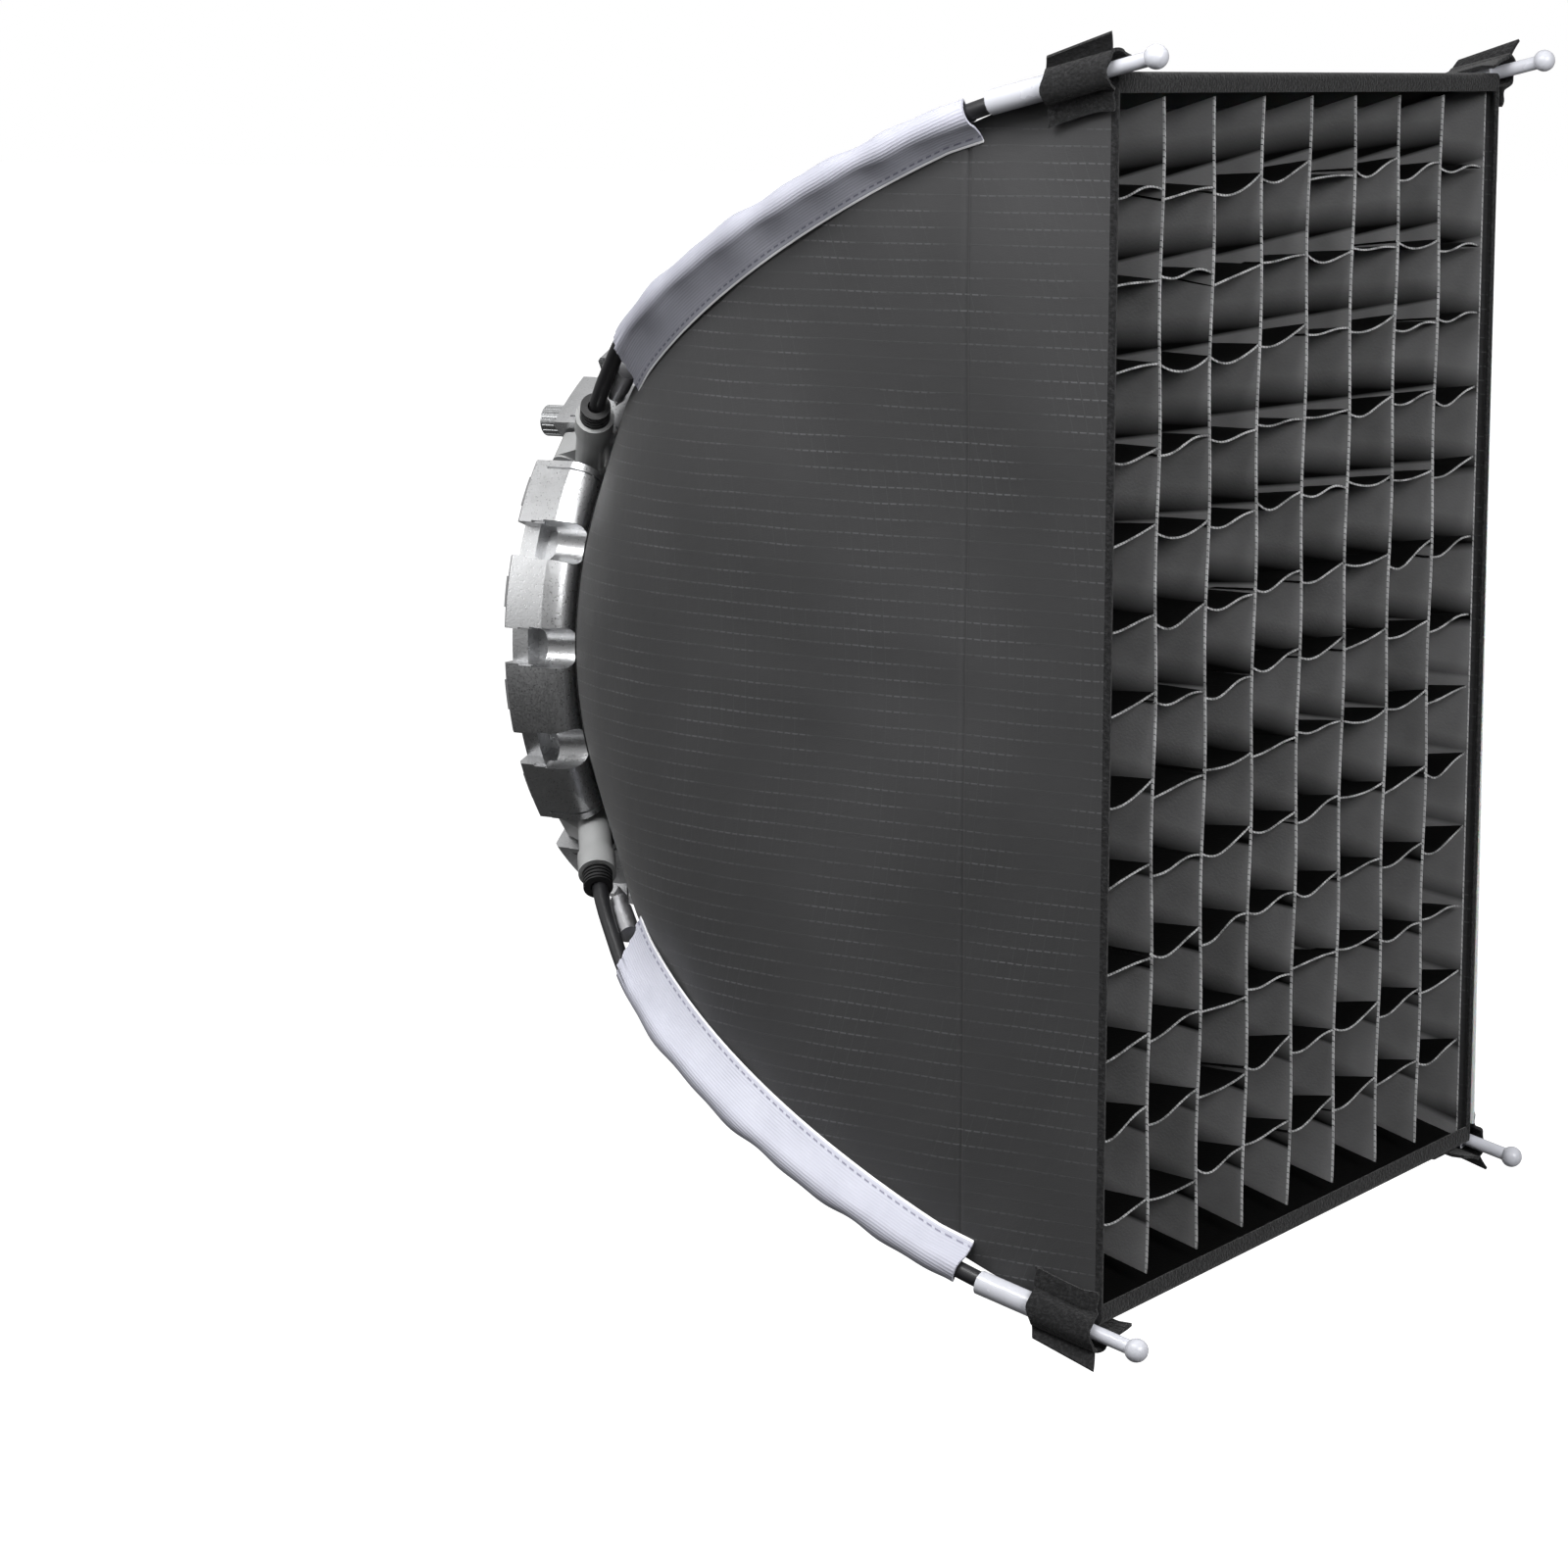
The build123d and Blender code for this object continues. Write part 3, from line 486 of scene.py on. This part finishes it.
def sleeve(corner):
    # wrap = from the side cloth, round the rod and back to the top cloth: straight, arc, straight
    settings = {"fromX": 0.0605, "toX": 0.2145, "round": 0.0050, "cloth": 0.0008, "overlap": 0.0065,
                "rows": 110, "lift": 0.0009, "wrap": 104}
    sideY, sideZ = corners[corner]
    share = np.linspace(0, 1, settings["rows"])
    xs = settings["fromX"] + (settings["toX"] - settings["fromX"]) * share
    rodY, rodZ = rodAt(xs)
    cornerY, cornerZ, midY, midZ = cornerAt(xs)
    fold = 1 - settings["overlap"] / cornerZ
    startY = midY + (cornerY - midY) * fold ** 2 + settings["lift"]
    startZ = cornerZ * fold
    foldTop = 1 - settings["overlap"] / cornerY
    endY = cornerY * foldTop
    endZ = midZ + (cornerZ - midZ) * foldTop ** 2 + settings["lift"]
    ripple = 0.0003 * np.sin(xs * 310 + 1.0) + 0.0003 * np.sin(xs * 173)
    radius = settings["round"] + ripple
    towards = np.arctan2(rodZ - cornerZ, rodY - cornerY)
    columns = []
    for t in np.linspace(-1, 1, 25):
        angle = towards + t * math.radians(settings["wrap"])
        columns.append(np.stack([xs, rodY + radius * np.cos(angle), rodZ + radius * np.sin(angle)], axis=-1))
    first, last = columns[0], columns[-1]
    startPoint = np.stack([xs, startY, startZ], axis=-1)
    endPoint = np.stack([xs, endY, endZ], axis=-1)
    sag = np.array([0, -0.0006, 0.0])
    steps = np.linspace(0, 1, 9)
    lead = [startPoint + (first - startPoint) * t + sag * math.sin(math.pi * t) for t in steps[:-1]]
    tail = [last + (endPoint - last) * t for t in steps[1:]]
    points = np.stack(lead + columns + tail, axis=1)
    across = arcLength(points.transpose(1, 0, 2)).T
    along = arcLength(points)
    slant = 0.0035 * np.cos(np.linspace(0, 3.0, points.shape[1]))[None, :]
    count = np.arange(points.shape[1])
    frayed = 0.0004 * np.sin(count * 2.3) + 0.0003 * np.sin(count * 5.1)
    ends = np.clip((share - 0.94) / 0.06, 0, 1)[:, None]
    rearEnd = np.clip((0.06 - share) / 0.06, 0, 1)[:, None]
    points[:, :, 0] += (0.3 * slant + frayed[None, :]) * rearEnd
    points[:, :, 0] += slant * ends
    points = points * np.array([1, sideY, sideZ])
    middle = np.stack([xs, rodY, rodZ], axis=-1) * np.array([1, sideY, sideZ])

    def away(centres):
        # outwards = centre of the face - the rod's centre line at the same x
        nearest = np.stack([centres[:, 0], np.interp(centres[:, 0], middle[:, 0], middle[:, 1]),
                            np.interp(centres[:, 0], middle[:, 0], middle[:, 2])], axis=-1)
        return centres - nearest

    piece = gridMesh("rodSleeve_" + corner, points, np.stack([along, across], axis=-1), away)
    thicken(piece, settings["cloth"])
    piece.data.materials.append(looks["sleeve_cloth"])
    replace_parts(piece, "rod_sleeve_" + corner)
    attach(piece, "rib_" + corner)


for corner in corners:
    sleeve(corner)
print("sleeves done")


def tipAt(x):
    # centre of the end tube = straight line between the rib's places at the tube's two ends
    low, high = ribAt(np.array([shape["tubeX"], shape["ribEnd"][0]]))
    share = (x - shape["tubeX"]) / shape["tubeLength"]
    return low[0] + (low[1] - low[0]) * share, high[0] + (high[1] - high[0]) * share


def strap(corner):
    # band = side cloth up to the corner, round the outside of the end tube, over the top cloth, and a free end
    settings = {"fromX": 0.2435, "toX": 0.2665, "round": 0.0052, "cloth": 0.0011, "down": 0.008, "over": 0.015,
                "tab": 0.006}
    sideY, sideZ = corners[corner]
    xs = np.linspace(settings["fromX"], settings["toX"], 16)
    tubeY, tubeZ = tipAt(xs)
    cornerY, cornerZ = cornerAt(np.minimum(xs, shape["frontX"]))[:2]
    rows = []
    for t in np.linspace(0, 1, 9)[:-1]:
        climb = cornerZ - settings["down"] * (1 - t) - 0.004
        rows.append(np.stack([xs, cornerY + 0.0013 + 0.0012 * t, climb], axis=-1))
    for angle in np.radians(np.linspace(-62, 128, 17)):
        rows.append(np.stack([xs, tubeY + settings["round"] * np.cos(angle),
                              tubeZ + settings["round"] * np.sin(angle)], axis=-1))
    last = rows[-1]
    target = np.stack([xs, cornerY - settings["over"], cornerZ + 0.0016], axis=-1)
    rows += [last + (target - last) * t for t in np.linspace(0, 1, 7)[1:]]
    points = np.stack(rows, axis=1)
    steps = points.shape[1]
    skew = np.linspace(-0.0012, 0.0022, steps)[None, :]
    points[:, :, 0] += skew + 0.0004 * np.sin(np.arange(steps) * 0.9)[None, :]
    across = arcLength(points.transpose(1, 0, 2)).T
    along = arcLength(points)
    centre = np.array([0, float(tubeY.mean()), float(tubeZ.mean())])
    points = points * np.array([1, sideY, sideZ])
    centre = centre * np.array([0, sideY, sideZ])

    def away(centres):
        # outwards = centre of the face - middle of the tube, square to the light axis
        return (centres - centre) * np.array([0, 1, 1])

    piece = gridMesh("strapBand", points, np.stack([along, across], axis=-1), away)
    tabRows = []
    for t in np.linspace(0, 1, 8):
        lift = settings["round"] + 0.0004 + settings["tab"] * t * (0.8 + 0.35 * (xs - xs[0]) / (xs[-1] - xs[0]))
        angle = math.radians(74 - 10 * t)
        free = [xs + 0.0016 * t, tubeY + lift * math.cos(angle), tubeZ + lift * math.sin(angle)]
        tabRows.append(np.stack(free, axis=-1))
    tab = np.stack(tabRows, axis=1) * np.array([1, sideY, sideZ])
    tabAlong = np.broadcast_to(xs[:, None], tab.shape[:2])
    tabAcross = np.broadcast_to(np.linspace(0, settings["tab"], 8), tab.shape[:2])
    tabUv = np.stack([tabAlong, tabAcross], axis=-1)
    tabPiece = thicken(gridMesh("strapTab", tab, tabUv, (0, sideY, 0)), settings["cloth"], 1.0)
    thicken(piece, settings["cloth"], 1.0)
    piece = joined("cornerStrap_" + corner, [piece, tabPiece])
    piece.data.materials.append(looks["trim_cloth"])
    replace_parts(piece, "corner_strap_" + corner)
    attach(piece, "rib_" + corner)


for corner in corners:
    strap(corner)
print("straps done")


def openingAt(x):
    # half width and half height inside the cloth = corner less the cloth and its play
    cornerY, cornerZ = cornerAt(np.array([x]))[:2]
    return float(cornerY[0]) - 0.0016, float(cornerZ[0]) - 0.0016


def eggCrate():
    # strip = level - sag in each cell, z = z0 - a * 4t(1 - t), strongest in front; borders follow the flare
    # uv of a strip = (depth, height above the strip below in shares of a cell), which sets how much painted
    # shade the cloth gets
    settings = {"columns": 8, "rows": 14, "back": 0.229, "front": 0.2605, "cloth": 0.00065, "lipTop": 0.0058,
                "lipSide": 0.0024, "sag": 0.0036, "step": 0.0014, "shift": 0.0024}
    gridRng = np.random.default_rng(5)
    halfY, halfZ = openingAt(settings["front"])
    backY, backZ = openingAt(settings["back"])
    innerY, innerZ = halfY - settings["lipSide"], halfZ - settings["lipTop"]
    depth = np.linspace(0, 1, 8)
    xs = settings["back"] + (settings["front"] - settings["back"]) * depth
    flareY = (backY + (halfY - backY) * depth) / halfY
    flareZ = (backZ + (halfZ - backZ) * depth) / halfZ
    cells, rows, seg = settings["columns"], settings["rows"], 12
    edgesY = np.linspace(-innerY, innerY, cells + 1)
    edgesY[1:-1] += gridRng.uniform(-0.001, 0.001, cells - 1)
    level = -innerZ + 2 * innerZ * np.arange(1, rows) / rows
    groupShift = np.where(np.arange(cells) < 3, -settings["shift"], settings["shift"] * 0.5)
    size = (rows - 1, cells)
    middle = groupShift + gridRng.uniform(-settings["step"], settings["step"], size)
    slope = gridRng.uniform(-0.001, 0.0062, size)
    arch = -settings["sag"] * gridRng.uniform(-0.2, 1.0, size)
    bend = -settings["sag"] * gridRng.uniform(-0.05, 0.4, size)
    t = np.linspace(0, 1, seg + 1)
    wave = (middle[..., None] + slope[..., None] * (t - 0.5) + arch[..., None] * (4 * t * (1 - t) - 0.6)
            + bend[..., None] * np.sin(2 * math.pi * t))
    grow = (0.1 + 0.9 * depth ** 0.9)[:, None]
    z = level[:, None, None, None] + wave[:, :, None, :] * grow
    spread = np.repeat(edgesY[None, :], len(xs), 0)
    spread[:, [0, -1]] *= flareY[:, None]
    y = (spread[:, :-1, None] + (spread[:, 1:] - spread[:, :-1])[..., None] * t).transpose(1, 0, 2)
    y = np.broadcast_to(y, z.shape)
    points = np.stack([np.broadcast_to(xs[:, None], z.shape), y, z], axis=-1).reshape(-1, len(xs), seg + 1, 3)
    # level strips get uv 0, which paints them in full painted shade
    parts = [gridMesh("gridRows", points, np.zeros(points.shape[:3] + (2,)), (0, 0, 1))]
    pitch = 2 * innerZ / rows
    across = np.linspace(-1, 1, rows * 8 + 1)
    for column in range(1, cells):
        y = edgesY[column] + 0.0009 * np.sin(across * 14 + column * 1.7) * depth[:, None]
        z = across[None, :] * innerZ * flareZ[:, None]
        points = np.stack([xs[:, None] + 0.0004 + 0 * z, y, z], axis=-1)
        # height above the strip below, which sets the painted shade on this upright
        floor = level[:, None] + middle[:, column - 1:column + 1].mean(axis=1)[:, None]
        above = z[0][None, :] - np.concatenate([[[-innerZ]], floor])
        height = np.where(above >= 0, above, 1).min(axis=0) / pitch
        uv = np.stack([depth[:, None] + 0 * z, height[None, :] + 0 * z], axis=-1)
        parts.append(gridMesh(f"gridColumn{column}", points, uv, (0, 1, 0)))
    for sign in (-1, 1):
        y = np.linspace(-halfY, halfY, 41)[None, :] * flareY[:, None]
        points = np.stack([xs[:, None] + 0 * y, y, sign * halfZ * flareZ[:, None] + 0 * y], axis=-1)
        # top and bottom border strips get uv 0, which paints them in full painted shade
        parts.append(gridMesh("gridEdge", points, np.zeros(points.shape[:2] + (2,)), (0, 0, 1)))
        z = np.linspace(-halfZ, halfZ, 57)[None, :] * flareZ[:, None]
        points = np.stack([xs[:, None] + 0 * z, sign * halfY * flareY[:, None] + 0 * z, z], axis=-1)
        # height in the cell, which sets the painted shade on the side border
        height = (z + innerZ) / pitch % 1
        uv = np.stack([depth[:, None] + 0 * z, height + 0 * depth[:, None]], axis=-1)
        parts.append(gridMesh("gridSide", points, uv, (0, 1, 0)))
    piece = thicken(joined("eggCrateGrid", parts), settings["cloth"], 0.0)
    piece.data.materials.append(looks["grid_cloth"])
    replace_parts(piece, "egg_crate_grid")
    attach(piece, "grid")
    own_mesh(piece)


eggCrate()
print("grid done")


def flatCloth(name, x, halfY, halfZ, body, slotName, replaced, sag=0.0012):
    # x = plane + slack waves that die out at the border
    y = np.linspace(-halfY, halfY, 61)[None, :]
    z = np.linspace(-halfZ, halfZ, 81)[:, None]
    edge = (1 - (y / halfY) ** 4) * (1 - (z / halfZ) ** 4)
    bow = sag * edge * (np.sin(y * 41 + 1) * np.cos(z * 29) + 0.5 * np.sin(y * 87 + z * 63))
    points = np.stack([x + bow, y + 0 * z, z + 0 * y], axis=-1)
    uv = np.stack([y + 0 * z, z + 0 * y], axis=-1)
    piece = gridMesh(name, points, uv, (1, 0, 0))
    thicken(piece, 0.0007, 0.0)
    piece.data.materials.append(looks[slotName])
    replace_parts(piece, *replaced)
    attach(piece, body)
    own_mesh(piece)


def pullTab():
    # webbing tab sewn under the lower left corner, a copy of the plain tab in its place
    plain = frame["nodes"]["pull_tab"]
    piece = bpy.data.objects.new("pullTab", plain.data.copy())
    bpy.context.scene.collection.objects.link(piece)
    piece.matrix_world = plain.matrix_world.copy()
    piece.data.materials.clear()
    piece.data.materials.append(looks["trim_cloth"])
    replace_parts(piece, "pull_tab")
    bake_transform(piece)


def diffuserFlap():
    # narrow white hem of the diffuser past the lip on the left edge: x = front + slant, bowed in the middle
    z = np.linspace(-0.192, 0.178, 60)[:, None]
    t = np.linspace(0, 1, 6)[None, :]
    bow = 0.0016 * np.cos(z / 0.2 * math.pi / 2)
    y = 0.1503 - bow * 0.4 - 0.0006 * t
    x = 0.2610 + 0.0052 * t * (0.65 + 0.35 * (0.19 - z) / 0.38)
    points = np.stack([x + 0 * z, y + 0 * z, z + 0 * t], axis=-1)
    piece = gridMesh("diffuserFlap", points, np.stack([t + 0 * z, z + 0 * t], axis=-1), (0, -1, 0))
    thicken(piece, 0.0006, -1.0)
    piece.data.materials.append(looks["diffuser_cloth"])
    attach(piece, "diffuser")
    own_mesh(piece)


pullTab()
diffuserFlap()
openY, openZ = openingAt(shape["diffuserX"])
flatCloth("frontDiffuser", shape["diffuserX"], openY - 0.0005, openZ - 0.0005, "diffuser", "diffuser_cloth",
          ["front_diffuser"])
baffleCorner = cornerAt(np.array([shape["baffleX"]]))[:2]
baffleY, baffleZ = (float(value[0]) - shape["baffleGap"] for value in baffleCorner)
flatCloth("innerBaffle", shape["baffleX"], baffleY, baffleZ, "ring", "diffuser_cloth",
          ["inner_baffle", "baffle_tabs"])
print("diffuser and baffle done")

# floor, light and camera
setting = {"floorZ": -0.9, "floorSize": 90.0, "floor": (0.34, 0.34, 0.342), "floorLow": (0.30, 0.30, 0.303),
           "sky": (0.0, 0.6), "skyWay": (-0.4, -0.1, 0.91), "glow": 1.0}
# each light: place, aim, size in metres, power in watts; each flag: place, size, turn
lights = {"topLight": ((0.16, -0.6, 0.62), (0.16, -0.12, 0.16), (0.6, 0.3), 6.5),
          "frontLight": ((1.7, -0.75, 0.75), (0.26, 0, 0), (0.9, 0.6), 30),
          "rimLight": ((-1.2, -1.2, 0.45), (0.0, -0.1, 0.03), (0.35, 0.9), 3.4)}
flags = {"sideFlag": ((1.7, -1.0, -0.35), (1.0, 3.2), (0, math.pi / 2, 0)),
         "lowFlag": ((0.2, -0.85, -0.5), (2.8, 1.7), (0, 0, 0))}


def studio():
    # floor and sky that look white to the camera: floor glow = glow on camera rays, 0 on the others;
    # sky = brighter towards skyWay, 1 on camera rays
    bpy.ops.mesh.primitive_plane_add(size=setting["floorSize"], location=(0, 0, setting["floorZ"]))
    floor = bpy.context.object
    floor.name = "floor"
    mat, tree, surface = startMaterial("floorPaint", setting["floor"], 0.8, specular=0.2)
    place = objectPlace(tree)
    tree.links.new(mixColor(tree, noise(tree, place, 3.0), setting["floorLow"], setting["floor"]),
                   surface.inputs["Base Color"])
    surface.inputs["Emission Color"].default_value = (1, 1, 1, 1)
    seenFloor = node(tree, "ShaderNodeLightPath").outputs["Is Camera Ray"]
    tree.links.new(calc(tree, "MULTIPLY", seenFloor, setting["glow"]), surface.inputs["Emission Strength"])
    floor.data.materials.append(mat)
    world = bpy.data.worlds.new("studioWorld")
    bpy.context.scene.world = world
    world.use_nodes = True
    sky = world.node_tree.nodes["Background"]
    sky.inputs["Color"].default_value = (1, 1, 1, 1)
    way = node(world.node_tree, "ShaderNodeTexCoord").outputs["Generated"]
    values = {0: way, 1: setting["skyWay"]}
    lean = node(world.node_tree, "ShaderNodeVectorMath", values, operation="DOT_PRODUCT").outputs["Value"]
    glow = span(world.node_tree, lean, -0.5, 0.9, setting["sky"][0], setting["sky"][1])
    seen = node(world.node_tree, "ShaderNodeLightPath").outputs["Is Camera Ray"]
    world.node_tree.links.new(calc(world.node_tree, "MAXIMUM", glow, seen), sky.inputs["Strength"])


def softLight(name, place, aim, size, power):
    # one area light, turned so that its face looks along aim - place
    data = bpy.data.lights.new(name, "AREA")
    data.shape = "RECTANGLE"
    data.size, data.size_y = size
    data.energy = power
    lamp = bpy.data.objects.new(name, data)
    bpy.context.scene.collection.objects.link(lamp)
    lamp.location = place
    lamp.rotation_euler = (Vector(aim) - Vector(place)).to_track_quat("-Z", "Y").to_euler()


def darkFlag(name, place, size, turn):
    # a black panel that keeps light off one side, hidden from the camera
    bpy.ops.mesh.primitive_plane_add(size=1, location=place, rotation=turn)
    flag = bpy.context.object
    flag.name = name
    flag.scale = (*size, 1)
    flag.data.materials.append(plasticMaterial("flagCloth", (0.02, 0.02, 0.02), 0.9, 0.0005))
    flag.visible_camera = False


studio()
for name, (place, size, turn) in flags.items():
    darkFlag(name, place, size, turn)
for name, (place, aim, size, power) in lights.items():
    softLight(name, place, aim, size, power)


def pictureCamera():
    # camera axes: right and up from the azimuth and the elevation, back = away from the object
    view = {"place": (0.9064, -1.3722, 0.1961), "azimuth": 32.449, "elevation": 9.641, "lens": 101.475,
            "shift": (0.02675, 0.03094)}
    a, e = math.radians(view["azimuth"]), math.radians(view["elevation"])
    right = Vector((math.cos(a), math.sin(a), 0))
    back = Vector((math.sin(a) * math.cos(e), -math.cos(a) * math.cos(e), math.sin(e)))
    up = back.cross(right)
    data = bpy.data.cameras.new("pictureCamera")
    data.sensor_width = 36
    data.lens = view["lens"]
    data.shift_x, data.shift_y = view["shift"]
    camera = bpy.data.objects.new("pictureCamera", data)
    turn = Matrix((right, up, back)).transposed()
    camera.matrix_world = Matrix.Translation(view["place"]) @ turn.to_4x4()
    bpy.context.scene.collection.objects.link(camera)
    bpy.context.scene.camera = camera


pictureCamera()
bpy.context.scene.view_settings.view_transform = "Standard"
